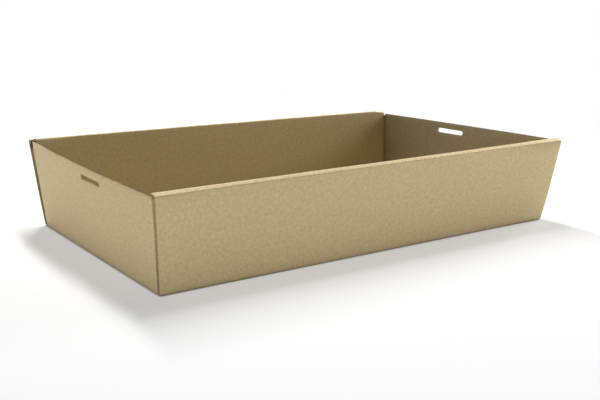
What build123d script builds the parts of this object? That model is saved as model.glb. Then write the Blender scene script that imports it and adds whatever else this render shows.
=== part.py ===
from build123d import *
import os
from math import cos, hypot, radians, sin, tan

# A rectangular tray folded from one die-cut sheet of kraft corrugated board.
# Its long walls roll over and become double, with the end walls' corner flaps held inside them.
# X runs along the long walls, Y across, Z up from the underside of the base.

# Overall sizes in millimetres, between the walls' outer faces carried up to the top of the tray
length = 450.0
width = 275.0
height = 85.0
end_flare = 7.8
side_flare = 11.5

# The sheet and its folds
board = 1.6
fold_inner_radius = 0.8

# The long walls' rolled rims: each is highest at its tight inner bend, and slopes down outwards
# from there, by rim_slope degrees, to a wide outer bend
rim_inner_bend_radius = 2.2
rim_slope = 20.0

# Room for the corner flaps in a long wall, in front of them and behind
flap_outer_gap = 0.7
flap_inner_gap = 0.45

# How far a long wall's outer skin and rolled rim, and its inner skin, stop short of the corner
edge_setback = 0.3
inner_end_gap = 2.4
inner_foot_gap = 0.4

# How much further the back wall's rim stops short at its inner crease, where its ends are cut at a slant
back_rim_slant = 3.4

# The end walls, which stop a little below the rolled rims, and their corner flaps
end_drop = 2.7
end_corner_radius = 3.0
corner_fold_drop = 4.0
flap_length = 60.0
flap_taper = 12.0
flap_corner_radius = 6.0
flap_foot_gap = 1.2

# One round-ended slot in each end wall, off the middle, for a lid's tab
slot_length = 40.0
slot_height = 5.0
slot_offset = 18.0
slot_drop = 9.5

# Tabs at the foot of each inner skin, which lock in slots cut in the base
tab_count = 2
tab_pitch = 220.0
tab_width = 42.0
tab_tip_width = 36.0
tab_tip_gap = 0.2
tab_clearance = 0.4


def reach(side_a, side_b, radius):
    """How far a fold of this outer radius spreads from the line where two faces would meet."""
    turn = 180 - side_a.get_angle(side_b)
    return radius * tan(radians(turn / 2))


def fold(start, end, side_a, side_b, radius):
    """The bent strip along one crease; side_a and side_b point from it into the two panels."""
    spread = reach(side_a, side_b, radius)
    bisector = (side_a + side_b).normalized()
    outer_a = start + side_a * spread
    outer_b = start + side_b * spread
    centre = start + bisector * (spread**2 + radius**2) ** 0.5
    inner_a = outer_a + (centre - outer_a).normalized() * board
    inner_b = outer_b + (centre - outer_b).normalized() * board
    section = make_face(
        [
            ThreePointArc(outer_a, centre - bisector * radius, outer_b),
            Line(outer_b, inner_b),
            ThreePointArc(inner_b, centre - bisector * (radius - board), inner_a),
            Line(inner_a, outer_a),
        ]
    )
    return extrude(section, (end - start).length, dir=end - start)


def flat(outline):
    """A face through a panel's corner points."""
    return make_face(Polyline(*outline, close=True))


def panel(face, into_board):
    """A flat piece of the sheet, from the face that shows to the one behind it."""
    return extrude(face, board, dir=into_board)


def level(point, direction, z):
    """The point at a height on a line through another point."""
    return point + direction * ((z - point.Z) / direction.Z)


def mirrored(point):
    """The same point at the other end of the end wall."""
    return Vector(point.X, -point.Y, point.Z)


# Directions along the sheet, up the left end wall and up the front wall
x_axis = Vector(1, 0, 0)
y_axis = Vector(0, 1, 0)
end_up = Vector(-end_flare, 0, height).normalized()
side_up = Vector(0, -side_flare, height).normalized()
side_down = side_up * -1
end_inward = y_axis.cross(end_up)
side_inward = side_up.cross(x_axis)

# The base's corner lines, and the folds along them
half_base_length = length / 2 - end_flare
half_base_width = width / 2 - side_flare
fold_radius = board + fold_inner_radius
end_fold_reach = reach(x_axis, end_up, fold_radius)
side_fold_reach = reach(y_axis, side_up, fold_radius)

# Level distances through a long wall, from its outer face
board_across_side = board / side_up.Z
flap_depth = (board + flap_outer_gap) / side_up.Z
roll_width = (3 * board + flap_outer_gap + flap_inner_gap) / side_up.Z

# The rolled rim's inner bend, whose top is the top of the tray
over_rim = Vector(0, cos(radians(rim_slope)), sin(radians(rim_slope)))
inner_bend_reach = reach(over_rim * -1, side_down, rim_inner_bend_radius)
inner_bend_middle = (side_down - over_rim).normalized() * hypot(inner_bend_reach, rim_inner_bend_radius)
inner_crease_z = height - rim_inner_bend_radius - inner_bend_middle.Z

# Its outer bend, which takes up the rest of the way down to the outer skin
rim_run = roll_width / (over_rim.Y + over_rim.Z * side_flare / height)
outer_crease_z = inner_crease_z - rim_run * over_rim.Z
outer_bend_reach = rim_run - inner_bend_reach
outer_bend_radius = outer_bend_reach / reach(side_down, over_rim, 1)

# Heights of the end walls' top edge and of the inner skins' foot
end_top = height - end_drop
inner_foot = board + inner_foot_gap


def end_wall_x(z):
    """How far the end walls' outer faces are from the middle, at a height."""
    return half_base_length + end_flare * z / height


def outer_point(x, z):
    """A point on the front wall's outer face."""
    return Vector(x, -half_base_width - side_flare * z / height, z)


def inner_point(x, z):
    """A point on the front wall's inner face."""
    return outer_point(x, z) + y_axis * roll_width


def flap_point(x, z):
    """A point on the outer face of the corner flaps in the front wall."""
    return outer_point(x, z) + y_axis * flap_depth


def tab_centres():
    """Where the tabs are along a long wall."""
    first = -tab_pitch * (tab_count - 1) / 2
    return [first + tab_pitch * index for index in range(tab_count)]


def base():
    """The base panel, with the slots that the tabs lock in."""
    slab = Box(
        2 * (half_base_length - end_fold_reach),
        2 * (half_base_width - side_fold_reach),
        board,
        align=(Align.CENTER, Align.CENTER, Align.MIN),
    )
    near = -inner_point(0, 0).Y - tab_clearance
    far = -inner_point(0, board).Y + board_across_side + tab_clearance
    cutter = Box(tab_width + 2 * tab_clearance, far - near, 3 * board)
    for x in tab_centres():
        for side in (-1, 1):
            slab -= Pos(x, side * (near + far) / 2, board / 2) * cutter
    return slab


def corner_flap(start, end, into_flap, spread):
    """A corner flap, which lies in the front wall and narrows towards its free end."""
    free_x = -half_base_length + flap_length
    root_low = start + into_flap * spread
    root_high = end + into_flap * spread
    outline = flat(
        [
            root_low,
            root_high,
            flap_point(free_x, root_high.Z - flap_taper),
            flap_point(free_x, root_low.Z + flap_taper),
        ]
    )
    free_corners = outline.vertices().group_by(Axis.X)[-1]
    return panel(fillet(free_corners, flap_corner_radius), side_inward)


def end_wall():
    """The left end wall: its base fold, its panel with the slot, and its two corner flaps."""
    corner_foot = flap_point(-half_base_length, 0)
    corner_up = Vector(-end_flare, -side_flare, height).normalized()
    into_end = corner_up.cross(end_inward)
    into_flap = side_inward.cross(corner_up)
    spread = reach(into_end, into_flap, fold_radius)

    side_edge = corner_foot + into_end * spread
    low = level(side_edge, corner_up, end_fold_reach * end_up.Z)
    high = level(side_edge, corner_up, end_top)
    outline = flat([low, high, mirrored(high), mirrored(low)])
    top_corners = outline.vertices().group_by(Axis.Z)[-1]
    wall = panel(fillet(top_corners, end_corner_radius), end_inward)

    slot_z = end_top - slot_drop
    slot_middle = Vector(-end_wall_x(slot_z), -slot_offset, slot_z)
    slot = Plane(slot_middle, x_dir=y_axis, z_dir=end_inward) * SlotOverall(slot_length, slot_height)
    wall -= extrude(slot, 2 * board, both=True)
    wall += fold(corner_foot, mirrored(corner_foot), x_axis, end_up, fold_radius)

    start = level(corner_foot, corner_up, fold_radius + flap_foot_gap)
    end = level(corner_foot, corner_up, end_top - corner_fold_drop)
    corner = fold(start, end, into_end, into_flap, fold_radius)
    corner += corner_flap(start, end, into_flap, spread)
    return wall + corner + mirror(corner, Plane.XZ)


def outer_skin():
    """The front wall's outer skin, with the fold at its foot."""
    foot = outer_point(-half_base_length, 0)
    low = side_fold_reach * side_up.Z
    high = outer_crease_z - outer_bend_reach * side_up.Z
    half_low = end_wall_x(low) - edge_setback
    half_high = end_wall_x(high) - edge_setback
    outline = [
        outer_point(-half_low, low),
        outer_point(-half_high, high),
        outer_point(half_high, high),
        outer_point(half_low, low),
    ]
    skin = fold(foot, foot + x_axis * (2 * half_base_length), y_axis, side_up, fold_radius)
    return skin + panel(flat(outline), side_inward)


def rolled_rim():
    """The strip that joins the front wall's two skins: a wide outer bend and a tight inner one."""
    half_roll = end_wall_x(height) - edge_setback
    along = x_axis * (2 * half_roll)
    outer_crease = outer_point(-half_roll, outer_crease_z)
    inner_crease = inner_point(-half_roll, inner_crease_z)
    outer_bend = fold(outer_crease, outer_crease + along, side_down, over_rim, outer_bend_radius)
    inner_bend = fold(
        inner_crease, inner_crease + along, over_rim * -1, side_down, rim_inner_bend_radius
    )
    return outer_bend + inner_bend


def slant_cut(rim):
    """The same strip with its ends cut at a slant, so that it is shortest at its inner crease."""
    half_outer = end_wall_x(height) - edge_setback
    half_inner = half_outer - back_rim_slant
    behind = y_axis * board
    plan = flat(
        [
            outer_point(-half_outer, height),
            outer_point(half_outer, height),
            inner_point(half_inner, height),
            inner_point(half_inner, height) + behind,
            inner_point(-half_inner, height) + behind,
            inner_point(-half_inner, height),
        ]
    )
    return rim & extrude(plan, 2 * outer_bend_radius, both=True)


def inner_skin():
    """The front wall's inner skin, with the tapered tabs at its foot."""
    top = inner_crease_z - inner_bend_reach * side_up.Z
    tip = tab_tip_gap + board * side_inward.Z
    end_gap = board / end_up.Z + inner_end_gap
    half_top = end_wall_x(top) - end_gap
    half_foot = end_wall_x(inner_foot) - end_gap
    outline = [inner_point(half_top, top), inner_point(-half_top, top), inner_point(-half_foot, inner_foot)]
    for x in tab_centres():
        outline += [
            inner_point(x - tab_width / 2, inner_foot),
            inner_point(x - tab_tip_width / 2, tip),
            inner_point(x + tab_tip_width / 2, tip),
            inner_point(x + tab_width / 2, inner_foot),
        ]
    outline.append(inner_point(half_foot, inner_foot))
    return panel(flat(outline), side_inward * -1)


def long_wall(rim):
    """The front wall, from its foot over a rolled rim to the tabs."""
    return outer_skin() + rim + inner_skin()


def folded_tray():
    """The whole sheet, folded; the back and right walls are the others turned half round."""
    half_turn = Rot(0, 0, 180)
    tray = base()
    tray += long_wall(rolled_rim())
    tray += half_turn * long_wall(slant_cut(rolled_rim()))
    tray += end_wall()
    tray += half_turn * end_wall()
    return tray


os.makedirs("parts", exist_ok=True)
export_step(folded_tray(), "parts/folded_tray.step")
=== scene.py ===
import math

import bmesh
import bpy
from mathutils import Matrix, Vector, kdtree, noise
from mathutils.bvhtree import BVHTree


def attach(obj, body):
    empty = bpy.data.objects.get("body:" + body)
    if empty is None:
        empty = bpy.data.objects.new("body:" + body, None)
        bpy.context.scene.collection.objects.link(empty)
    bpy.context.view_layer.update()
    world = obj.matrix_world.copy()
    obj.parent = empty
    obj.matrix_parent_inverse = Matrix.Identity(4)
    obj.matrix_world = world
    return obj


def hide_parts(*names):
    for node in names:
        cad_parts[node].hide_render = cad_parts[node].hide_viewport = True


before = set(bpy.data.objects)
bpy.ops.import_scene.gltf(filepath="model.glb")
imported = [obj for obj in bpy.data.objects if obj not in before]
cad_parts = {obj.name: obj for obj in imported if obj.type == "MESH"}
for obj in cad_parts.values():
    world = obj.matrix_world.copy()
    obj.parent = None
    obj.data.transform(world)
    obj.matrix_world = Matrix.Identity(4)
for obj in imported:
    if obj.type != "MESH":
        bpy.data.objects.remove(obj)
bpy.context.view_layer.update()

MM = 0.001

# The tray's sizes, the same as the solid's
HALF_LENGTH = 225.0 * MM
HALF_WIDTH = 137.5 * MM
HEIGHT = 85.0 * MM
END_FLARE = 7.8 * MM
SIDE_FLARE = 11.5 * MM
BOARD = 1.6 * MM
FOLD_RADIUS = 2.4 * MM
FLAP_OUTER_GAP = 0.7 * MM
FLAP_INNER_GAP = 0.45 * MM
EDGE_SETBACK = 0.3 * MM
INNER_END_GAP = 2.4 * MM
INNER_FOOT_GAP = 0.4 * MM
END_DROP = 2.7 * MM
FLAP_LENGTH = 60.0 * MM
FLAP_TAPER = 12.0 * MM
FLAP_CORNER_RADIUS = 6.0 * MM
SLOT_LENGTH = 40.0 * MM
SLOT_HEIGHT = 5.0 * MM
SLOT_OFFSET = 18.0 * MM
SLOT_DROP = 9.5 * MM
TAB_CENTRE = 110.0 * MM
TAB_WIDTH = 42.0 * MM
TAB_TIP_WIDTH = 36.0 * MM
TAB_TIP_GAP = 0.2 * MM
TAB_CLEARANCE = 0.4 * MM

# The rims and the corners, which differ a little from the solid's. Each mitre, stand-off and droop
# is given for a long wall's left and right end, as they are seen from outside it.
RIM_INNER_RADIUS = 1.6 * MM
RIM_OUTER_RADIUS = 1.0 * MM
RIM_SLOPE = math.radians(27)
FRONT_MITRE = (0, 0)
BACK_MITRE = (2.5 * MM, 5.0 * MM)
MITRE_RUN = 9.0 * MM
MITRE_START = 0.35
END_CORNER_RADIUS = 1.3 * MM
CORNER_FOLD_DROP = 1.5 * MM
CORNER_RADIUS = 0.8 * MM
CREASE_THICKNESS = 0.75 * MM
CREASE_WIDTH = 1.6 * MM
CREASE_DEPTH = 3.9 * MM
FLAP_EASE = 5.5 * MM
FLAP_FOOT_GAP = 0.3 * MM
FOLD_SETBACK = 0.4 * MM

# The board's papers, and what the die leaves along its cut edges
LINER = 0.25 * MM
FLUTING = 0.16 * MM
FLUTE_PITCH = 3.4 * MM
FLUTE_HEIGHT = 0.33 * MM
FLUTE_TUCK = 0.04
FLUTE_REACH = 0.93
OPEN_DEPTH = 2.6 * MM
LEAST_OPEN_DEPTH = 0.3 * MM
CRUSH_WIDTH = 1.7 * MM
CRUSH_FALLOFF = 1.5
CRUSH_OUTSIDE = 0.24 * MM
CRUSH_INSIDE = 0.10 * MM

# How the card has relaxed since it was folded. Each zone is where an effect sets in and is whole,
# and each rise is the power of the height that it grows with.
END_BOW = 2.9 * MM
END_BOW_ZONE = (0.86, 0.94)
SIDE_BOW = 0.5 * MM
SIDE_BOW_ZONE = (0.80, 0.86)
SIDE_TWIST = 1.05 * MM
END_TWIST = 2.2 * MM
UNEVENNESS = 0.25 * MM
UNEVENNESS_SCALE = 14
UNEVENNESS_ZONE = (0.02, 0.4)
UNEVENNESS_SEED = 2
FRONT_STAND_OFF = (1.5 * MM, 3.4 * MM)
FRONT_DROOP = (0, -0.7 * MM)
FRONT_DROOP_RUN = 90.0 * MM
FRONT_SAG = 0.7 * MM
BACK_STAND_OFF = (0, 3.7 * MM)
BACK_DROOP = (3.5 * MM, 0)
BACK_DROOP_RUN = 12.0 * MM
BACK_SAG = 0
STAND_OFF_RUN = 70.0 * MM
STAND_OFF_RISE = 0.3
DROOP_RISE = 8
LEFT_SINK = 1.0 * MM
LEFT_DRAWN_IN = 1.2 * MM
DRAWN_IN_ZONE = (0.4 * HALF_WIDTH, 0.95 * HALF_WIDTH)
DRAWN_IN_RISE = 0.6
RIGHT_SINK = 0.6 * MM

# How finely the sheet is divided. Rows and lines are given as shares of the part of a panel that
# they divide, and insets and margins as distances from an edge.
FOLD_STEPS = 7
OUTER_BEND_STEPS = 10
INNER_BEND_STEPS = 8
WALL_STEPS = 8
FOOT_ROWS = [0.978, 0.993, 1.0]
TAB_ROWS = (0.0, 0.35, 0.7, 0.87, 1.0)
TOP_ROWS = (0.3, 0.58, 0.86, 1.0)
FLAP_LINES = (0.03, 0.06, 0.09, 0.12, 0.25, 0.4, 0.55, 0.7, 0.82, 0.9, 0.945, 0.97, 0.99, 1.0)
SLOT_RING_LINES = (0.0, 0.25, 0.65, 1.0)
SLOT_FRAME_ROWS = (-1, -0.5, 0, 0.5, 1)
SLOT_FRAME_SIDE = 2.5 * MM
SLOT_FRAME_RISE = 2 * MM
SLOT_END_LINES = (3 * MM, 1.3 * MM)
SIDE_INSETS = [3.0 * MM, 1.3 * MM, 0.5 * MM, 0.18 * MM, 0]
EDGE_LINE = 0.3
LEAST_STRIP = 0.3 * MM
LONG_WALL_MARGIN = 8 * MM
END_WALL_MARGIN = 9 * MM
CELL = 11.0 * MM
SLOT_CELL = 7 * MM
CUT_EDGE_STEP = 0.5 * MM
FLUTE_STEP = 0.42 * MM
WELD = 0.002 * MM
FLUTE_WELD = 0.001 * MM

# The papers' looks. The liner is paler over the rims as a painted highlight, and the inside liner's
# colour is given as a part of the outside liner's, darker as painted shade inside the tray.
INSIDE_PAINTED_SHADE = (0.70, 0.715, 0.79)
RIM_PAINTED_HIGHLIGHT = 0.13
RIM_HIGHLIGHT_EDGE = 1.2 * MM
PAPER_ROUGHNESS = (0.68, 0.82)
PAPER_RELIEF = 0.12 * MM

# How many of each there are to a metre of the sheet, and the values that their noise is taken from
BLOTCHES = 105
BLOTCH_RANGE = (0.40, 0.60)
CLOUDS = 330
GRAIN = 1100
FIBRES = (420, 2600, 1)
MIDDLE_RANGE = (0.3, 0.7)
TONE_RANGE = (1.15, 1.85)
LIGHT_FLECKS = 620
LIGHT_FLECK_RANGE = (0.68, 0.76)
DARK_FLECKS = 560
DARK_FLECK_RANGE = (0.67, 0.75)
DARK_FLECK_SHIFT = (3.7, 1.3, 0)

# Each inside face has its place on the blank this far to the side of the outside face's
INSIDE_SHIFT = Vector((1, 0))
INSIDE_STARTS = (0.49, 0.51)

# The floor: what lights the tray, and what is seen of it as a plain white ground
FLOOR_HALF_SIZE = 30
FLOOR_LEVEL = -0.05 * MM
FLOOR_GREY = 0.85
FLOOR_GLOW = 0.67
FOOT_SHADE = 7 * MM
FOOT_SHADE_DARKEST = 0.45
SEEN_FLOOR = 0.48
SEEN_GLOW = 0.47
CONTACT_SHADOW = 2 * MM
PURE_WHITE_ZONE = (0.42, 0.8)

# The lamps: the strips' elevations in degrees from behind, powers in watts, places in metres
STRIPS = ((40, 55, 14.5), (55, 70, 12), (70, 85, 11.5))
STRIP_DISTANCE = 1.6
STRIP_X = 0.28
STRIP_WIDTH = 0.12
RIGHT_LIGHT = 8.5
RIGHT_LIGHT_PLACE = (1.2, 0, 0.6)
RIGHT_LIGHT_TARGET = (0, 0, 0.05)
RIGHT_LIGHT_SIZE = (0.5, 0.5)

# The room's glow along the horizon, and the way across it where the room is dark on both sides
HORIZON_GLOW = 1.18
HORIZON_ZONE = (0.12, 0.45)
DARK_SIDES = (-0.57, -0.82)
DARK_SIDES_GLOW = 0.12
DARK_SIDES_ZONE = (0.2, 0.8)

# The camera's place in metres, its turns in radians, and its focal length in the photo's pixels
CAMERA_PLACE = (-0.4970, -0.7070, 0.2264)
CAMERA_YAW = 0.614
CAMERA_PITCH = 0.231
CAMERA_ROLL = 0.010
FOCAL_PIXELS = 881.3
PHOTO_WIDTH = 600
SENSOR_WIDTH = 36

WHITE = (1, 1, 1, 1)
X_AXIS = Vector((1, 0, 0))
Y_AXIS = Vector((0, 1, 0))


# Folds, and where the walls are at a height

def reach(side_a, side_b, radius):
    """How far a fold of this outer radius spreads from the line where two faces would meet."""
    turn = math.pi - side_a.angle(side_b)
    return radius * math.tan(turn / 2)


def bend(corner, side_a, side_b, radius, steps):
    """Points round a fold's outer face, from the panel along side_a to the panel along side_b."""
    spread = reach(side_a, side_b, radius)
    bisector = (side_a + side_b).normalized()
    centre = corner + bisector * math.hypot(spread, radius)
    start = corner + side_a * spread - centre
    end = corner + side_b * spread - centre
    turn = start.angle(end)
    points = []
    for step in range(steps + 1):
        share = step / steps
        near = math.sin((1 - share) * turn) / math.sin(turn)
        far = math.sin(share * turn) / math.sin(turn)
        points.append(centre + start * near + end * far)
    return points


def bend_length(side_a, side_b, radius):
    """The length of sheet that a fold takes, round its outer face."""
    return radius * (math.pi - side_a.angle(side_b))


def end_x(z):
    """How far the end walls' outer faces are from the middle, at a height."""
    return HALF_BASE_LENGTH + END_FLARE * z / HEIGHT


def side_y(z):
    """How far the long walls' outer faces are from the middle, at a height."""
    return HALF_BASE_WIDTH + SIDE_FLARE * z / HEIGHT


END_UP = Vector((-END_FLARE, 0, HEIGHT)).normalized()
SIDE_UP = Vector((0, -SIDE_FLARE, HEIGHT)).normalized()
END_INWARD = Y_AXIS.cross(END_UP)
SIDE_INWARD = SIDE_UP.cross(X_AXIS)
HALF_BASE_LENGTH = HALF_LENGTH - END_FLARE
HALF_BASE_WIDTH = HALF_WIDTH - SIDE_FLARE
BASE_X = HALF_BASE_LENGTH - reach(X_AXIS, END_UP, FOLD_RADIUS)
BASE_Y = HALF_BASE_WIDTH - reach(Y_AXIS, SIDE_UP, FOLD_RADIUS)
ROLL_WIDTH = (3 * BOARD + FLAP_OUTER_GAP + FLAP_INNER_GAP) / SIDE_UP.z
FLAP_DEPTH = (BOARD + FLAP_OUTER_GAP) / SIDE_UP.z
END_TOP = HEIGHT - END_DROP
SLOT_Z = END_TOP - SLOT_DROP
INNER_FOOT = BOARD + INNER_FOOT_GAP
TAB_TIP = TAB_TIP_GAP + BOARD * SIDE_INWARD.z
TAB_SLOT_NEAR = side_y(0) - ROLL_WIDTH - TAB_CLEARANCE
TAB_SLOT_FAR = side_y(BOARD) - ROLL_WIDTH + BOARD / SIDE_UP.z + TAB_CLEARANCE

# The slanted creases between the left end wall and its corner flaps
CORNER_FOOT = Vector((-HALF_BASE_LENGTH, CREASE_DEPTH - HALF_BASE_WIDTH, 0))
CORNER_UP = Vector((-END_FLARE, -SIDE_FLARE, HEIGHT)).normalized()
INTO_END = CORNER_UP.cross(END_INWARD)
INTO_FLAP = SIDE_INWARD.cross(CORNER_UP)
CORNER_SPREAD = reach(INTO_END, INTO_FLAP, CORNER_RADIUS)
PANEL_CORNER = CORNER_FOOT + INTO_END * CORNER_SPREAD


def panel_side(z):
    """How far the end wall's flat panel reaches from its middle, at a height."""
    return -(PANEL_CORNER + CORNER_UP * ((z - PANEL_CORNER.z) / CORNER_UP.z)).y


def ramp(value, start, end):
    """0 before start, 1 after end, and a smooth rise between them."""
    share = min(max((value - start) / (end - start), 0), 1)
    return share * share * (3 - 2 * share)


def settled(place, twist):
    """Where a point of the tray lies now that the card has relaxed."""
    along = place.x / HALF_LENGTH
    across = place.y / HALF_WIDTH
    up = place.z / HEIGHT
    end_bow = END_BOW * max(1 - across**2, 0) * up * ramp(abs(along), *END_BOW_ZONE)
    side_bow = SIDE_BOW * max(1 - along**2, 0) * up * ramp(abs(across), *SIDE_BOW_ZONE)
    uneven = noise.noise_vector(place * UNEVENNESS_SCALE) * UNEVENNESS
    uneven *= ramp(up, *UNEVENNESS_ZONE)
    return place + uneven + Vector((
        math.copysign(end_bow, along),
        math.copysign(side_bow, across),
        -twist * along * across * up,
    ))


# Patches of the sheet: rows of (place, place on the flat blank)

def half_turned(patch):
    """The same patch at the tray's opposite side."""
    return [[(Vector((-p.x, -p.y, p.z)), (-u, -v)) for p, (u, v) in row] for row in patch]


def mirrored(patch):
    """The same patch at the other end of its wall."""
    return [[(Vector((p.x, -p.y, p.z)), (u, -v)) for p, (u, v) in reversed(row)] for row in patch]


def between(start, end, size):
    """Lines that divide a span evenly, about a size apart, with its start and without its end."""
    count = max(round(abs(end - start) / size), 1)
    return [start + (end - start) * index / count for index in range(count)]


def both_ways(lines):
    """Lines on both sides of the middle, where the first line is."""
    return [-line for line in reversed(lines[1:])] + lines


def leaning(patch, sink, drawn_in):
    """The same patch of the left end wall, sunk a little, and drawn in at its far end."""
    moved = []
    for row in patch:
        moved.append([])
        for place, flat in row:
            up = max(place.z / HEIGHT, 0)
            in_by = drawn_in * ramp(place.y, *DRAWN_IN_ZONE) * up**DRAWN_IN_RISE
            moved[-1].append((place + Vector((in_by, 0, -sink * up)), flat))
    return moved


def tab_lines():
    """Where the slot for a tab starts, the tab starts, the tab ends and the slot ends."""
    half_tab = TAB_WIDTH / 2
    half_cut = half_tab + TAB_CLEARANCE
    return [TAB_CENTRE + offset for offset in (-half_cut, -half_tab, half_tab, half_cut)]


def long_wall_lines(z, mitre):
    """Lines up half a long wall at a height: upright, to the inner skin's edge, and past it."""
    cut_start, tab_start, tab_end, cut_end = tab_lines()
    foot_edge = end_x(0) - BOARD / END_UP.z - INNER_END_GAP
    last = foot_edge - LONG_WALL_MARGIN
    upright = between(0, cut_start, CELL) + [cut_start] + between(tab_start, tab_end, CELL)
    upright += [tab_end] + between(cut_end, last, CELL) + [last]
    outer = end_x(z) - EDGE_SETBACK - mitre
    inner = min(end_x(z) - BOARD / END_UP.z - INNER_END_GAP, outer - LEAST_STRIP)
    share = (BASE_X - foot_edge) / (end_x(0) - EDGE_SETBACK - foot_edge)
    corner = inner + (outer - inner) * share
    inner_lines = [inner - CRUSH_WIDTH, inner - CRUSH_WIDTH * EDGE_LINE, inner]
    return upright, inner_lines, [corner, outer - (outer - corner) * EDGE_LINE, outer]


def long_wall_profile():
    """The front wall's section up to its inner foot, and where its rim and inner skin start."""
    foot = Vector((0, -side_y(0), 0))
    over_rim = Vector((0, math.cos(RIM_SLOPE), math.sin(RIM_SLOPE)))
    inner_reach = reach(-over_rim, -SIDE_UP, RIM_INNER_RADIUS)
    to_centre = (-SIDE_UP - over_rim).normalized() * math.hypot(inner_reach, RIM_INNER_RADIUS)
    inner_z = HEIGHT - RIM_INNER_RADIUS - to_centre.z
    inner_crease = Vector((0, ROLL_WIDTH - side_y(inner_z), inner_z))
    rim_run = ROLL_WIDTH / (over_rim.y + over_rim.z * SIDE_FLARE / HEIGHT)
    outer_crease = inner_crease - over_rim * rim_run
    fold = bend(foot, Y_AXIS, SIDE_UP, FOLD_RADIUS, FOLD_STEPS)
    outer_bend = bend(outer_crease, -SIDE_UP, over_rim, RIM_OUTER_RADIUS, OUTER_BEND_STEPS)
    inner_bend = bend(inner_crease, -over_rim, -SIDE_UP, RIM_INNER_RADIUS, INNER_BEND_STEPS)
    inner_foot = Vector((0, -side_y(INNER_FOOT) + ROLL_WIDTH, INNER_FOOT))
    shares = [step / WALL_STEPS for step in range(1, WALL_STEPS)]
    outer = [fold[-1].lerp(outer_bend[0], share) for share in shares]
    inner = [inner_bend[-1].lerp(inner_foot, share) for share in shares + FOOT_ROWS]
    rim_start = len(fold) + len(outer)
    inner_start = rim_start + len(outer_bend) + len(inner_bend)
    return fold + outer + outer_bend + inner_bend + inner, rim_start, inner_start


def lengths_along(profile):
    """How far along a line of points each of them is."""
    run = [0.0]
    for start, end in zip(profile, profile[1:]):
        run.append(run[-1] + (end - start).length)
    return run


def rims_on_blank():
    """How far from the blank's long middle line its two rims start and end."""
    profile, rim_start, inner_start = long_wall_profile()
    run = lengths_along(profile)
    return BASE_Y + run[rim_start], BASE_Y + run[inner_start - 1]


def long_wall(mitre, stand_off, droop, droop_run, sag):
    """The front wall: its outer skin and rim, its inner skin, and the tabs at its foot.

    At its left and its right end, mitre is how far its rim stops short, stand_off how far its outer
    skin has sprung off the end walls' corners, and droop how much further than by its sag its rim
    has sunk."""
    profile, rim_start, inner_start = long_wall_profile()
    run = lengths_along(profile)
    rim_length = run[inner_start - 1] - run[rim_start]

    def relaxed(x, point, over_rim):
        def at_ends(amounts, run):
            near = [ramp(side * x, HALF_LENGTH - run, HALF_LENGTH) for side in (-1, 1)]
            return sum(share * amount for share, amount in zip(near, amounts))

        up = max(point.z / HEIGHT, 0)
        out = at_ends(stand_off, STAND_OFF_RUN) * (1 - over_rim) * up**STAND_OFF_RISE
        sunk = (sag + at_ends(droop, droop_run)) * up**DROOP_RISE
        return Vector((x, point.y - out, point.z - sunk))

    def row(index, to_corner):
        point = profile[index]
        over_rim = min(max((run[index] - run[rim_start]) / rim_length, 0), 1)
        below_rim = ramp(run[index], run[inner_start - 1], run[inner_start - 1] + MITRE_RUN)
        halves = []
        for amount in mitre:
            cut = amount * ramp(over_rim, 0, MITRE_START) * (1 - below_rim)
            upright, inner, outer = long_wall_lines(min(point.z, HEIGHT), cut)
            halves.append(upright + inner + (outer if to_corner else []))
        flat_v = -(BASE_Y + run[index])
        xs = [-x for x in reversed(halves[0][1:])] + halves[1]
        return [(settled(relaxed(x, point, over_rim), SIDE_TWIST), (x, flat_v)) for x in xs]

    skin = [row(index, True) for index in range(inner_start)]
    inner = [row(index, False) for index in range(inner_start - 1, len(profile))]
    return [skin, inner] + [tab(side, run[-1]) for side in (-1, 1)]


def tab(side, run_to_foot):
    """A tab at the foot of the front wall's inner skin."""
    _, tab_start, tab_end, _ = tab_lines()
    stations = between(tab_start, tab_end, CELL) + [tab_end]
    patch = []
    for share in TAB_ROWS:
        z = INNER_FOOT + (TAB_TIP - INNER_FOOT) * share
        narrowing = 1 + (TAB_TIP_WIDTH / TAB_WIDTH - 1) * share
        flat_v = -(BASE_Y + run_to_foot + (INNER_FOOT - z) / SIDE_UP.z)
        xs = sorted(side * (TAB_CENTRE + (x - TAB_CENTRE) * narrowing) for x in stations)
        y = ROLL_WIDTH - side_y(z)
        patch.append([(settled(Vector((x, y, z)), SIDE_TWIST), (x, flat_v)) for x in xs])
    return patch


def panel_point(y, z):
    """A point of the left end wall's panel."""
    fold_length = bend_length(X_AXIS, END_UP, FOLD_RADIUS)
    fold_top = reach(X_AXIS, END_UP, FOLD_RADIUS) * END_UP.z
    flat_u = -(BASE_X + fold_length + (z - fold_top) / END_UP.z)
    return settled(Vector((-end_x(z), y, z)), END_TWIST), (flat_u, y)


def slot_frame_lines():
    """Lines up the left end wall round its slot, from one side of the slot's frame to the other."""
    straight = (SLOT_LENGTH - SLOT_HEIGHT) / 2
    outside = [SLOT_LENGTH / 2 + SLOT_FRAME_SIDE] + [straight + past for past in SLOT_END_LINES]
    lines = [-x for x in outside] + between(-straight, straight, SLOT_CELL) + [straight]
    return [x - SLOT_OFFSET for x in lines + list(reversed(outside))]


def end_wall_lines(z):
    """Lines up the left end wall at a height, from side to side.

    With them come their distances from the panel's side, where they count for the rounded corners,
    and where the slot's frame starts and ends."""
    insets = sorted(SIDE_INSETS + [END_CORNER_RADIUS, panel_side(0) - TAB_SLOT_NEAR], reverse=True)
    side = [panel_side(z) - inset for inset in insets]
    last = panel_side(0) - END_WALL_MARGIN
    slot = slot_frame_lines()
    upright = between(-last, slot[0], CELL) + slot + list(reversed(between(last, slot[-1], CELL)))
    lines = [-y for y in reversed(side)] + upright + side
    first = lines.index(slot[0])
    columns_inset = list(reversed(insets)) + [insets[0]] * len(upright) + insets
    return lines, columns_inset, first, first + len(slot) - 1


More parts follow.
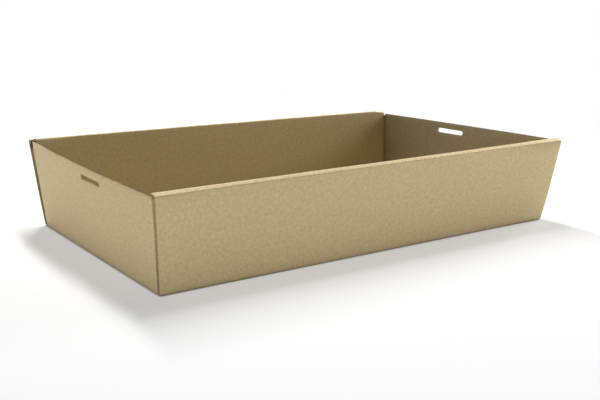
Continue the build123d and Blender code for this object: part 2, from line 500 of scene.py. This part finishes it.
def panel_heights():
    """Heights of the left end wall's rows, and where the slot's frame starts and ends in them."""
    frame_half = SLOT_HEIGHT / 2 + SLOT_FRAME_RISE
    low = FOLD_RADIUS + FLAP_FOOT_GAP
    below = between(low, SLOT_Z - frame_half, CELL)
    frame_rows = [SLOT_Z + share * frame_half for share in SLOT_FRAME_ROWS]
    first, last = len(below), len(below) + len(frame_rows) - 1
    return below + frame_rows + [END_TOP - CORNER_FOLD_DROP], first, last


def end_wall():
    """The left end wall: its fold, its panel round the slot, and its two corner flaps."""
    fold = bend(Vector((-HALF_BASE_LENGTH, 0, 0)), X_AXIS, END_UP, FOLD_RADIUS, FOLD_STEPS)
    fold_length = bend_length(X_AXIS, END_UP, FOLD_RADIUS)
    lines, insets, first, last = end_wall_lines(0)
    heights, low, high = panel_heights()
    fold_rows = []
    for index, place in enumerate(fold):
        outer = BASE_Y - min(index, 1) * FOLD_SETBACK
        flat_u = -(BASE_X + fold_length * index / FOLD_STEPS)
        fold_rows.append([
            (settled(Vector((place.x, y, place.z)), END_TWIST), (flat_u, y))
            for y in [-outer, -TAB_SLOT_FAR] + lines + [TAB_SLOT_FAR, outer]
        ])

    rows = [fold_rows[-1][2:-2]]
    rows += [[panel_point(y, z) for y in end_wall_lines(z)[0]] for z in heights]
    for share in TOP_ROWS:
        tops = [rounded_top(inset) for inset in insets]
        zs = [heights[-1] + (top - heights[-1]) * share for top in tops]
        rows.append([panel_point(end_wall_lines(z)[0][column], z) for column, z in enumerate(zs)])

    low += 1
    high += 1
    beside_slot = rows[low:high + 1]
    frame_part = [row[first:last + 1] for row in beside_slot]
    patches = [fold_rows, rows[:low + 1], rows[high:], slot_ring(frame_part)]
    patches += [[row[:first + 1] for row in beside_slot], [row[last:] for row in beside_slot]]
    corner = corner_patch(heights)
    return patches + [corner, mirrored(corner)]


def rounded_top(inset):
    """The height of the end wall's top edge, which is rounded near its two corners."""
    past = max(END_CORNER_RADIUS - inset, 0)
    return END_TOP - END_CORNER_RADIUS + math.sqrt(END_CORNER_RADIUS**2 - past**2)


def slot_ring(frame_part):
    """The card between the slot's edge and the frame of lines and rows round it."""
    straight = (SLOT_LENGTH - SLOT_HEIGHT) / 2
    border = frame_part[0][:-1] + [row[-1] for row in frame_part[:-1]]
    border += list(reversed(frame_part[-1][1:])) + [row[0] for row in reversed(frame_part[1:])]
    heights, low, high = panel_heights()
    rises = heights[low:high + 1]
    columns = len(frame_part[0]) - 1
    zs = [rises[0]] * columns + rises[:-1] + [rises[-1]] * columns + list(reversed(rises[1:]))
    ring = [[] for _ in SLOT_RING_LINES]
    for (_, (_, y)), z in zip(border + border[:1], zs + zs[:1]):
        centre = min(max(y + SLOT_OFFSET, -straight), straight)
        outward = Vector((y + SLOT_OFFSET - centre, z - SLOT_Z)).normalized() * SLOT_HEIGHT / 2
        edge_y = centre + outward.x - SLOT_OFFSET
        edge_z = SLOT_Z + outward.y
        for line, share in zip(ring, SLOT_RING_LINES):
            line.append(panel_point(edge_y + (y - edge_y) * share, edge_z + (z - edge_z) * share))
    return ring


def corner_patch(heights):
    """The crease at the left end wall's front side, and the corner flap behind the front wall."""
    crease_length = bend_length(INTO_END, INTO_FLAP, CORNER_RADIUS)
    first_flat = Vector(panel_point(-panel_side(heights[0]), heights[0])[1])
    last_flat = Vector(panel_point(-panel_side(heights[-1]), heights[-1])[1])
    flat_up = (last_flat - first_flat).normalized()
    flat_out = Vector((-flat_up.y, flat_up.x))

    def root(z):
        side = Vector((-end_x(z), -panel_side(z), z))
        return side + (INTO_FLAP - INTO_END) * CORNER_SPREAD

    first_root = root(heights[0])
    last_root = root(heights[-1])
    free_x = FLAP_LENGTH - HALF_BASE_LENGTH
    patch = []
    for z in heights:
        crease = Vector((-end_x(z), -panel_side(z), z)) - INTO_END * CORNER_SPREAD
        side_flat = Vector(panel_point(-panel_side(z), z)[1])
        row = []
        for index, place in enumerate(bend(crease, INTO_END, INTO_FLAP, CORNER_RADIUS, FOLD_STEPS)):
            flat = side_flat + flat_out * (crease_length * index / FOLD_STEPS)
            row.append((settled(place, END_TWIST), tuple(flat)))
        row_root = root(z)
        level_share = (row_root.z - first_root.z) / (last_root.z - first_root.z)
        for share in FLAP_LINES:
            x = row_root.x + (free_x - row_root.x) * share
            past = max(FLAP_CORNER_RADIUS - (free_x - x), 0)
            rounding = FLAP_CORNER_RADIUS - math.sqrt(max(FLAP_CORNER_RADIUS**2 - past**2, 0))
            bottom = first_root.z + FLAP_TAPER * share + rounding
            top = last_root.z - FLAP_TAPER * share - rounding
            place_z = bottom + (top - bottom) * level_share
            depth = CREASE_DEPTH + (FLAP_DEPTH - CREASE_DEPTH) * ramp(x - row_root.x, 0, FLAP_EASE)
            place = Vector((x, depth - side_y(place_z), place_z))
            offset = place - first_root
            flat = first_flat + flat_up * offset.dot(CORNER_UP)
            flat += flat_out * (crease_length + offset.dot(INTO_FLAP))
            row.append((settled(place, END_TWIST), tuple(flat)))
        patch.append(row)
    return patch


def base():
    """The base as one patch, with lines along the edges of the slots for the tabs."""
    upright, inner, outer = long_wall_lines(0, 0)
    xs = both_ways(upright + inner + outer[:1])
    lines = end_wall_lines(0)[0]
    left = [-BASE_Y, -TAB_SLOT_FAR] + lines + [TAB_SLOT_FAR, BASE_Y]
    right = [-y for y in reversed(left)]
    patch = []
    for left_y, right_y in zip(left, right):
        row = []
        for x in xs:
            y = left_y + (right_y - left_y) * (x + BASE_X) / (2 * BASE_X)
            row.append((Vector((x, y, 0)), (x, y)))
        patch.append(row)
    return patch


def in_tab_slot(corners):
    """Whether a cell of the base is part of a slot for a tab."""
    cut_start, _, _, cut_end = tab_lines()
    x = sum(flat[0] for _, flat in corners) / 4
    y = sum(flat[1] for _, flat in corners) / 4
    return cut_start < abs(x) < cut_end and TAB_SLOT_NEAR < abs(y) < TAB_SLOT_FAR


# The sheet's outer face, its thickness and its cut edges

def outer_face():
    """The outer face of the whole folded sheet, with its flat blank in a UV map."""
    mesh = bmesh.new()
    blank = mesh.loops.layers.uv.new("blank")
    walls = long_wall(FRONT_MITRE, FRONT_STAND_OFF, FRONT_DROOP, FRONT_DROOP_RUN, FRONT_SAG)
    back = long_wall(BACK_MITRE, BACK_STAND_OFF, BACK_DROOP, BACK_DROOP_RUN, BACK_SAG)
    walls += [half_turned(patch) for patch in back]
    ends = end_wall()
    walls += [leaning(patch, LEFT_SINK, LEFT_DRAWN_IN) for patch in ends]
    walls += [half_turned(leaning(patch, RIGHT_SINK, 0)) for patch in ends]
    for patch in [base()] + walls:
        places = [[mesh.verts.new(place) for place, _ in row] for row in patch]
        for r in range(len(patch) - 1):
            for c in range(len(patch[0]) - 1):
                cells = [(r, c), (r, c + 1), (r + 1, c + 1), (r + 1, c)]
                corners = [patch[i][j] for i, j in cells]
                if in_tab_slot(corners):
                    continue
                face = mesh.faces.new([places[i][j] for i, j in cells])
                for loop, (_, flat) in zip(face.loops, corners):
                    loop[blank].uv = flat
    bmesh.ops.delete(mesh, geom=[v for v in mesh.verts if not v.link_faces], context="VERTS")
    bmesh.ops.remove_doubles(mesh, verts=mesh.verts, dist=WELD)
    bmesh.ops.recalc_face_normals(mesh, faces=mesh.faces)
    lowest = min(mesh.faces, key=lambda face: face.calc_center_median().length)
    if lowest.normal.z > 0:
        bmesh.ops.reverse_faces(mesh, faces=mesh.faces)
    mesh.normal_update()
    mesh.verts.ensure_lookup_table()
    mesh.verts.index_update()
    return mesh, blank


def flat_places(mesh, blank):
    """Each point's place on the flat blank."""
    return [Vector(vert.link_loops[0][blank].uv) for vert in mesh.verts]


def cut_edges(mesh):
    """Each cut edge's two points in the order of its face, and the way from it into the board."""
    edges = []
    for edge in mesh.edges:
        if not edge.is_boundary:
            continue
        loop = edge.link_loops[0]
        start, end = loop.vert, loop.link_loop_next.vert
        along = (end.co - start.co).normalized()
        edges.append((start, end, loop.face.normal.cross(along).normalized()))
    return edges


def ways_into_board(mesh, edges):
    """From each point of a cut edge, the way into the board as far as the flutes are open."""
    opposed = 0.4
    sharpest_turn = 0.6
    shallower = 0.6
    on_board = 0.12 * MM
    ways = {}
    for start, end, way in edges:
        for vert in (start, end):
            ways.setdefault(vert.index, []).append(way)
    tree = BVHTree.FromBMesh(mesh)
    result = {}
    for index, pair in ways.items():
        total = sum(pair, Vector())
        if total.length < opposed:
            way = (mesh.verts[index].co * -1).normalized()
        else:
            way = total.normalized()
            way /= max(way.dot(pair[0]), sharpest_turn)
        depth = OPEN_DEPTH
        place = mesh.verts[index].co
        while depth > LEAST_OPEN_DEPTH:
            nearest = tree.find_nearest(place + way * depth)[0]
            if (nearest - place - way * depth).length < on_board:
                break
            depth *= shallower
        result[index] = way * depth
    return result


def crush(flat, nearest_cut):
    """How much the die has crushed the board at a place on the blank, from 0 to 1."""
    distance = nearest_cut.find(flat.to_3d())[2]
    return max(1 - distance / CRUSH_WIDTH, 0) ** CRUSH_FALLOFF


def crease_press(flat):
    """How much thinner the board is at a place on the blank, where the corner creases press it."""
    side = Vector((-abs(flat.x), -abs(flat.y)))
    first = Vector(panel_point(-panel_side(0), 0)[1])
    last = Vector(panel_point(-panel_side(END_TOP), END_TOP)[1])
    along = (last - first).normalized()
    offset = side - first
    middle = bend_length(INTO_END, INTO_FLAP, CORNER_RADIUS) / 2
    away = abs(offset.dot(Vector((-along.y, along.x))) - middle)
    if offset.dot(along) < -FOLD_RADIUS or offset.dot(along) > (last - first).length + FOLD_RADIUS:
        return 0
    return (BOARD - CREASE_THICKNESS) * (1 - ramp(away, middle, CREASE_WIDTH))


def folded_sheet(paper, cut_paper):
    """The folded board with its two liners and its cut edges, and the open flutes' paths."""
    outer, blank = outer_face()
    flats = flat_places(outer, blank)
    edges = cut_edges(outer)
    ways = ways_into_board(outer, edges)

    samples = []
    for start, end, _ in edges:
        a, b = flats[start.index], flats[end.index]
        count = max(int((b - a).length / CUT_EDGE_STEP), 1)
        samples += [a.lerp(b, step / count) for step in range(count)]
    nearest_cut = kdtree.KDTree(len(samples))
    for index, flat in enumerate(samples):
        nearest_cut.insert(flat.to_3d(), index)
    nearest_cut.balance()

    mesh = bmesh.new()
    uv = mesh.loops.layers.uv.new("blank")
    fronts, backs, crushes = [], [], []
    for vert, flat in zip(outer.verts, flats):
        amount = crush(flat, nearest_cut)
        crushes.append(amount)
        fronts.append(mesh.verts.new(vert.co - vert.normal * CRUSH_OUTSIDE * amount))
        thickness = BOARD - max(CRUSH_INSIDE * amount, crease_press(flat))
        backs.append(mesh.verts.new(vert.co - vert.normal * thickness))
    for face in outer.faces:
        corners = [loop.vert.index for loop in face.loops]
        front = mesh.faces.new([fronts[index] for index in corners])
        back = mesh.faces.new([backs[index] for index in reversed(corners)])
        for loop, index in zip(front.loops, corners):
            loop[uv].uv = flats[index]
        for loop, index in zip(back.loops, reversed(corners)):
            loop[uv].uv = flats[index] + INSIDE_SHIFT

    lips = {}
    for index, way in ways.items():
        vert = outer.verts[index]
        top = fronts[index].co - vert.normal * LINER
        bottom = backs[index].co + vert.normal * LINER
        lips[index] = [fronts[index], mesh.verts.new(top), mesh.verts.new(top + way),
                       mesh.verts.new(bottom + way), mesh.verts.new(bottom), backs[index]]
    for start, end, _ in edges:
        a, b = lips[start.index], lips[end.index]
        for step in range(5):
            face = mesh.faces.new([b[step], a[step], a[step + 1], b[step + 1]])
            face.material_index = 1
            for loop, index in zip(face.loops, (end.index, start.index, start.index, end.index)):
                loop[uv].uv = flats[index]
    mesh.normal_update()
    for face in mesh.faces:
        face.smooth = face.material_index == 0
    for edge in mesh.edges:
        materials = {face.material_index for face in edge.link_faces}
        edge.smooth = materials == {0}

    paths = flute_paths(outer, edges, flats, ways)
    outer.free()
    data = bpy.data.meshes.new("folded_board")
    mesh.to_mesh(data)
    mesh.free()
    data.materials.append(paper)
    data.materials.append(cut_paper)
    piece = bpy.data.objects.new("folded_board", data)
    bpy.context.collection.objects.link(piece)
    return piece, paths


def flute_paths(outer, edges, flats, ways):
    """The middle line of every cut edge, with what the flutes need to know along it."""
    mesh = bpy.data.meshes.new("cut_edge_lines")
    numbers = {index: number for number, index in enumerate(ways)}
    middle = (BOARD + CRUSH_OUTSIDE - CRUSH_INSIDE) / 2
    verts = [outer.verts[index] for index in ways]
    mesh.from_pydata(
        [vert.co - vert.normal * middle for vert in verts],
        [(numbers[start.index], numbers[end.index]) for start, end, _ in edges],
        [],
    )
    across = mesh.attributes.new("flute_at", "FLOAT", "POINT")
    across.data.foreach_set("value", [flats[index].y for index in ways])
    normal = mesh.attributes.new("board_normal", "FLOAT_VECTOR", "POINT")
    normal.data.foreach_set("vector", [part for vert in verts for part in vert.normal])
    way = mesh.attributes.new("into_board", "FLOAT_VECTOR", "POINT")
    way.data.foreach_set("vector", [part for index in ways for part in ways[index]])
    piece = bpy.data.objects.new("open_flutes", mesh)
    bpy.context.collection.objects.link(piece)
    return piece


# Node trees

def place_node(tree, kind, sockets=None, **settings):
    """Adds a node with its settings; each socket gets a value or another node's output."""
    made = tree.nodes.new(kind)
    for name, value in settings.items():
        setattr(made, name, value)
    for key, value in (sockets or {}).items():
        if isinstance(value, bpy.types.NodeSocket):
            tree.links.new(value, made.inputs[key])
        else:
            made.inputs[key].default_value = value
    return made


def maths(tree, operation, *values):
    """The result of one sum on values."""
    made = place_node(tree, "ShaderNodeMath", dict(enumerate(values)), operation=operation)
    return made.outputs[0]


def scaled(tree, vector, factor):
    made = place_node(tree, "ShaderNodeVectorMath", {0: vector, "Scale": factor}, operation="SCALE")
    return made.outputs[0]


def cleared_tree(owner):
    """The empty node tree of a material or a world."""
    owner.use_nodes = True
    owner.node_tree.nodes.clear()
    return owner.node_tree


def flute_tree():
    """Waves the middle paper along each cut edge and draws it into the board."""
    tree = bpy.data.node_groups.new("Open flutes", "GeometryNodeTree")
    interface = tree.interface
    interface.new_socket("Geometry", in_out="INPUT", socket_type="NodeSocketGeometry")
    for name, value in (("Pitch", FLUTE_PITCH), ("Height", FLUTE_HEIGHT),
                        ("Paper thickness", FLUTING), ("Step", FLUTE_STEP)):
        socket = interface.new_socket(name, in_out="INPUT", socket_type="NodeSocketFloat")
        socket.default_value = value
    interface.new_socket("Paper", in_out="INPUT", socket_type="NodeSocketMaterial")
    interface.new_socket("Geometry", in_out="OUTPUT", socket_type="NodeSocketGeometry")
    given = place_node(tree, "NodeGroupInput").outputs

    def shaped(kind, sockets=None, **settings):
        return place_node(tree, "GeometryNode" + kind, sockets, **settings).outputs[0]

    normal = shaped("InputNamedAttribute", {"Name": "board_normal"}, data_type="FLOAT_VECTOR")
    curve = shaped("MeshToCurve", {"Mesh": given["Geometry"]})
    fine = shaped("ResampleCurve", {"Curve": curve, "Length": given["Step"]}, mode="LENGTH")
    across = shaped("InputNamedAttribute", {"Name": "flute_at"}, data_type="FLOAT")
    turns = maths(tree, "DIVIDE", across, given["Pitch"])
    wave = maths(tree, "SINE", maths(tree, "MULTIPLY", turns, math.tau))
    rise = maths(tree, "MULTIPLY", wave, given["Height"])
    shift = scaled(tree, normal, rise)
    lines = shaped("CurveToMesh", {"Curve": fine})
    waved = shaped("SetPosition", {"Geometry": lines, "Offset": shift})
    into = shaped("InputNamedAttribute", {"Name": "into_board"}, data_type="FLOAT_VECTOR")
    start = scaled(tree, into, FLUTE_TUCK)
    tucked = shaped("SetPosition", {"Geometry": waved, "Offset": start})
    wall = shaped("ExtrudeMesh", {"Mesh": tucked, "Offset": into, "Offset Scale": FLUTE_REACH},
                  mode="EDGES")
    thick = {"Mesh": wall, "Offset Scale": given["Paper thickness"], "Individual": False}
    paper = shaped("ExtrudeMesh", thick, mode="FACES")
    back = shaped("FlipFaces", {"Mesh": wall})
    both = place_node(tree, "GeometryNodeJoinGeometry")
    tree.links.new(back, both.inputs[0])
    tree.links.new(paper, both.inputs[0])
    whole = shaped("MergeByDistance", {"Geometry": both.outputs[0], "Distance": FLUTE_WELD})
    real = shaped("RealizeInstances", {"Geometry": whole})
    dressed = shaped("SetMaterial", {"Geometry": real, "Material": given["Paper"]})
    place_node(tree, "NodeGroupOutput", {0: dressed})
    return tree


def open_flutes(paths, paper):
    """The flutes along the cut edges, made from the edges' middle lines."""
    tree = flute_tree()
    modifier = paths.modifiers.new("open flutes", "NODES")
    modifier.node_group = tree
    inputs = [item for item in tree.interface.items_tree if item.in_out == "INPUT"]
    modifier[next(item.identifier for item in inputs if item.name == "Paper")] = paper
    bpy.context.view_layer.update()
    shaped = paths.evaluated_get(bpy.context.evaluated_depsgraph_get())
    data = bpy.data.meshes.new_from_object(shaped)
    paths.modifiers.clear()
    paths.data = data
    data.name = "open_flutes"
    for name in ("flute_at", "board_normal", "into_board"):
        if name in data.attributes:
            data.attributes.remove(data.attributes[name])
    return paths


# Papers

def mixed(tree, a, b, factor, blend_type="MIX"):
    """The colour of two colours mixed."""
    mix = place_node(tree, "ShaderNodeMix", data_type="RGBA", blend_type=blend_type)
    for socket, value in ((mix.inputs[6], a), (mix.inputs[7], b), (mix.inputs[0], factor)):
        if isinstance(value, bpy.types.NodeSocket):
            tree.links.new(value, socket)
        else:
            socket.default_value = value
    return mix.outputs[2]


def remapped(tree, value, start, end, low, high):
    """A value's range mapped to another, smoothly and without going past it."""
    sockets = dict(enumerate((value, start, end, low, high)))
    made = place_node(tree, "ShaderNodeMapRange", sockets, interpolation_type="SMOOTHSTEP")
    return made.outputs[0]


def noise_value(tree, vector, scale, detail=2.0, roughness=0.5):
    sockets = {"Vector": vector, "Scale": scale, "Detail": detail, "Roughness": roughness}
    return place_node(tree, "ShaderNodeTexNoise", sockets).outputs[0]


def kraft_group():
    """Unbleached kraft paper: cloudy colour, fibres, flecks and a slightly furry surface, with
    painted shade on the inside liner and a painted highlight on the rims.
    """
    tree = bpy.data.node_groups.new("Kraft paper", "ShaderNodeTree")
    for kind, names in (("Vector", ("Blank",)), ("Color", ("Olive", "Pinkish", "Inside painted shade")),
                        ("Float", ("Mottle", "Flecks", "Rim painted highlight"))):
        for name in names:
            tree.interface.new_socket(name, in_out="INPUT", socket_type="NodeSocket" + kind)
    for name, kind in (("Colour", "Color"), ("Roughness", "Float"), ("Height", "Float")):
        tree.interface.new_socket(name, in_out="OUTPUT", socket_type="NodeSocket" + kind)
    given = place_node(tree, "NodeGroupInput").outputs
    blank = given["Blank"]

    blotch = remapped(tree, noise_value(tree, blank, BLOTCHES, detail=3), *BLOTCH_RANGE, 0, 1)
    colour = mixed(tree, given["Olive"], given["Pinkish"], blotch)
    place = place_node(tree, "ShaderNodeSeparateXYZ", {0: blank}).outputs
    # The inside liner is darkened: painted shade for the inside of the tray.
    inside = remapped(tree, place[0], *INSIDE_STARTS, 0, 1)
    inside_shaded = mixed(tree, colour, given["Inside painted shade"], 1.0, "MULTIPLY")
    colour = mixed(tree, colour, inside_shaded, inside)

    grain = noise_value(tree, blank, GRAIN, detail=3, roughness=0.75)
    cloud = noise_value(tree, blank, CLOUDS)
    drawn_out = place_node(tree, "ShaderNodeMapping", {"Vector": blank, "Scale": FIBRES}).outputs[0]
    fibres = noise_value(tree, drawn_out, 1, roughness=0.6)
    tone = maths(tree, "ADD", maths(tree, "ADD", grain, cloud), fibres)
    shade = remapped(tree, tone, *TONE_RANGE, -1.0, 1.0)
    light_noise = noise_value(tree, blank, LIGHT_FLECKS, detail=1)
    light_flecks = remapped(tree, light_noise, *LIGHT_FLECK_RANGE, 0, 1)
    moved = place_node(tree, "ShaderNodeVectorMath", {0: blank, 1: DARK_FLECK_SHIFT},
                       operation="ADD").outputs[0]
    dark_noise = noise_value(tree, moved, DARK_FLECKS, detail=1)
    dark_flecks = remapped(tree, dark_noise, *DARK_FLECK_RANGE, 0, -1)
    flecks = maths(tree, "ADD", light_flecks, dark_flecks)
    amount = maths(tree, "MULTIPLY_ADD", shade, given["Mottle"], 1.0)
    amount = maths(tree, "MULTIPLY_ADD", flecks, given["Flecks"], amount)

    # The rims are made paler: a painted highlight where the rolled rims face the light.
    from_middle = maths(tree, "ABSOLUTE", place[1])
    rim_start, rim_end = rims_on_blank()
    past_start = remapped(tree, from_middle, rim_start, rim_start + RIM_HIGHLIGHT_EDGE, 0, 1)
    on_rim = remapped(tree, from_middle, rim_end - RIM_HIGHLIGHT_EDGE, rim_end, past_start, 0)
    painted_highlight = maths(tree, "ADD", on_rim, remapped(tree, cloud, *MIDDLE_RANGE, 0, on_rim))
    amount = maths(tree, "MULTIPLY_ADD", painted_highlight, given["Rim painted highlight"], amount)
    grey = place_node(tree, "ShaderNodeCombineColor", {0: amount, 1: amount, 2: amount}).outputs[0]
    colour = mixed(tree, colour, grey, 1.0, "MULTIPLY")
    rough = remapped(tree, fibres, *MIDDLE_RANGE, *PAPER_ROUGHNESS)
    place_node(tree, "NodeGroupOutput", {"Colour": colour, "Roughness": rough, "Height": tone})
    return tree


def paper_material(name, group, olive, pinkish, mottle, flecks, relief):
    """A matt paper material that follows the flat blank."""
    material = bpy.data.materials.new(name)
    tree = cleared_tree(material)
    blank = place_node(tree, "ShaderNodeUVMap", uv_map="blank").outputs[0]
    paper = place_node(tree, "ShaderNodeGroup", {
        "Blank": blank, "Olive": (*olive, 1), "Pinkish": (*pinkish, 1),
        "Inside painted shade": (*INSIDE_PAINTED_SHADE, 1), "Mottle": mottle, "Flecks": flecks,
        "Rim painted highlight": RIM_PAINTED_HIGHLIGHT}, node_tree=group).outputs
    bump = place_node(tree, "ShaderNodeBump", {
        "Height": paper["Height"], "Strength": relief, "Distance": PAPER_RELIEF})
    shader = place_node(tree, "ShaderNodeBsdfPrincipled", {
        "Base Color": paper["Colour"], "Roughness": paper["Roughness"],
        "Normal": bump.outputs[0], "Specular IOR Level": 0.5})
    place_node(tree, "ShaderNodeOutputMaterial", {0: shader.outputs[0]})
    return material


# The floor, the light and the camera

def seen_as_background(tree):
    """1 for rays that see a plain white ground, the camera's and mirrors', and 0 for light."""
    path = place_node(tree, "ShaderNodeLightPath").outputs
    seen = maths(tree, "MAXIMUM", path["Is Camera Ray"], path["Is Glossy Ray"])
    return maths(tree, "MAXIMUM", seen, path["Is Transmission Ray"])


def glow(tree, strength):
    return place_node(tree, "ShaderNodeEmission", {"Color": WHITE, "Strength": strength}).outputs[0]


def glowing_grey(tree, grey, strength):
    """A matt grey surface that also gives out white light."""
    matt = place_node(tree, "ShaderNodeBsdfDiffuse", {"Color": (grey, grey, grey, 1)}).outputs[0]
    return place_node(tree, "ShaderNodeAddShader", {0: matt, 1: glow(tree, strength)}).outputs[0]


def openness(tree, distance, samples):
    """How little stands within a distance of a point, from 0 to 1."""
    sockets = {"Distance": distance}
    made = place_node(tree, "ShaderNodeAmbientOcclusion", sockets, samples=samples)
    return made.outputs["AO"]


def floor():
    """A wide white floor, which glows like a lit studio table and keeps the tray's shadow."""
    mesh = bpy.data.meshes.new("floor")
    ends = (-FLOOR_HALF_SIZE, FLOOR_HALF_SIZE)
    corners = [(x, y, FLOOR_LEVEL) for y in ends for x in ends]
    mesh.from_pydata(corners, [], [(0, 1, 3, 2)])
    piece = bpy.data.objects.new("floor", mesh)
    bpy.context.collection.objects.link(piece)
    material = bpy.data.materials.new("White floor")
    tree = cleared_tree(material)

    foot = openness(tree, FOOT_SHADE, 4)
    shaded = remapped(tree, foot, FOOT_SHADE_DARKEST, 1.0, 0, FLOOR_GLOW)
    lit_table = glowing_grey(tree, FLOOR_GREY, shaded)

    place = place_node(tree, "ShaderNodeTexCoord").outputs["Object"]
    length = place_node(tree, "ShaderNodeVectorMath", {0: place}, operation="LENGTH")
    far = remapped(tree, length.outputs["Value"], *PURE_WHITE_ZONE, 0, 1)
    seen_light = maths(tree, "MULTIPLY", openness(tree, CONTACT_SHADOW, 8), SEEN_GLOW)
    seen_near = glowing_grey(tree, SEEN_FLOOR, seen_light)
    seen_far = glow(tree, 1.0)
    seen_table = place_node(tree, "ShaderNodeMixShader", {0: far, 1: seen_near, 2: seen_far})
    surface = place_node(tree, "ShaderNodeMixShader", {
        0: seen_as_background(tree), 1: lit_table, 2: seen_table.outputs[0]})
    place_node(tree, "ShaderNodeOutputMaterial", {0: surface.outputs[0]})
    mesh.materials.append(material)


def soft_light(name, place, target, size, power):
    """A large rectangular lamp turned to a point."""
    lamp = bpy.data.lights.new(name, "AREA")
    lamp.shape = "RECTANGLE"
    lamp.size, lamp.size_y = size
    lamp.energy = power
    made = bpy.data.objects.new(name, lamp)
    made.location = place
    made.rotation_euler = (Vector(target) - Vector(place)).to_track_quat("-Z", "Y").to_euler()
    bpy.context.collection.objects.link(made)


def light():
    """Narrow lamps in a line above and behind the tray, one at its right, and the room's glow."""
    for low, high, power in STRIPS:
        middle = math.radians((low + high) / 2)
        length = 2 * STRIP_DISTANCE * math.tan(math.radians((high - low) / 2))
        place = (STRIP_X, STRIP_DISTANCE * math.cos(middle), STRIP_DISTANCE * math.sin(middle))
        soft_light(f"strip_light_{low}", place, (0, 0, 0), (STRIP_WIDTH, length), power)
    soft_light("right_light", RIGHT_LIGHT_PLACE, RIGHT_LIGHT_TARGET, RIGHT_LIGHT_SIZE, RIGHT_LIGHT)

    world = bpy.data.worlds.new("White room")
    bpy.context.scene.world = world
    tree = cleared_tree(world)
    way = place_node(tree, "ShaderNodeTexCoord").outputs["Generated"]
    height = place_node(tree, "ShaderNodeSeparateXYZ", {0: way}).outputs[2]
    to_dark = place_node(tree, "ShaderNodeVectorMath", {0: way, 1: (*DARK_SIDES, 0)},
                         operation="DOT_PRODUCT").outputs["Value"]
    to_dark = maths(tree, "ABSOLUTE", to_dark)
    around = remapped(tree, to_dark, *DARK_SIDES_ZONE, HORIZON_GLOW, DARK_SIDES_GLOW)
    walls = remapped(tree, height, *HORIZON_ZONE, around, 0)
    seen = seen_as_background(tree)
    strength = place_node(tree, "ShaderNodeMapRange", {0: seen, 3: walls, 4: 1.0})
    sky = place_node(tree, "ShaderNodeBackground", {0: WHITE, 1: strength.outputs[0]})
    place_node(tree, "ShaderNodeOutputWorld", {0: sky.outputs[0]})


def camera():
    """The photo's view: from the near left corner, a little above the rim."""
    sideways, ahead = math.sin(CAMERA_YAW), math.cos(CAMERA_YAW)
    level, down = math.cos(CAMERA_PITCH), math.sin(CAMERA_PITCH)
    tilt, upright = math.sin(CAMERA_ROLL), math.cos(CAMERA_ROLL)
    forward = Vector((sideways * level, ahead * level, -down))
    right = Vector((ahead, -sideways, 0))
    up = right.cross(forward)
    axes = (right * upright + up * tilt, up * upright - right * tilt, -forward)
    data = bpy.data.cameras.new("camera")
    data.sensor_fit = "HORIZONTAL"
    data.sensor_width = SENSOR_WIDTH
    data.lens = FOCAL_PIXELS * SENSOR_WIDTH / PHOTO_WIDTH
    made = bpy.data.objects.new("camera", data)
    made.matrix_world = Matrix.Translation(CAMERA_PLACE) @ Matrix(axes).transposed().to_4x4()
    bpy.context.collection.objects.link(made)
    bpy.context.scene.camera = made


# Without a seed of its own, Blender's noise would start from the clock and differ each time
noise.seed_set(UNEVENNESS_SEED)

camera()
floor()
light()

kraft = kraft_group()
liner = paper_material("Kraft liner", kraft, olive=(0.520, 0.428, 0.222),
                       pinkish=(0.530, 0.403, 0.226), mottle=0.13, flecks=0.10, relief=0.35)
cut_liner = paper_material("Cut edge of the liner", kraft, olive=(0.58, 0.48, 0.29),
                           pinkish=(0.56, 0.44, 0.26), mottle=0.15, flecks=0.1, relief=0.5)
fluting = paper_material("Fluting paper", kraft, olive=(0.33, 0.25, 0.13),
                         pinkish=(0.30, 0.21, 0.11), mottle=0.12, flecks=0.0, relief=0.4)

board, edge_lines = folded_sheet(liner, cut_liner)
flutes = open_flutes(edge_lines, fluting)
for piece in (board, flutes):
    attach(piece, "root")
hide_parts("folded_tray")

bpy.context.scene.view_settings.view_transform = "Standard"
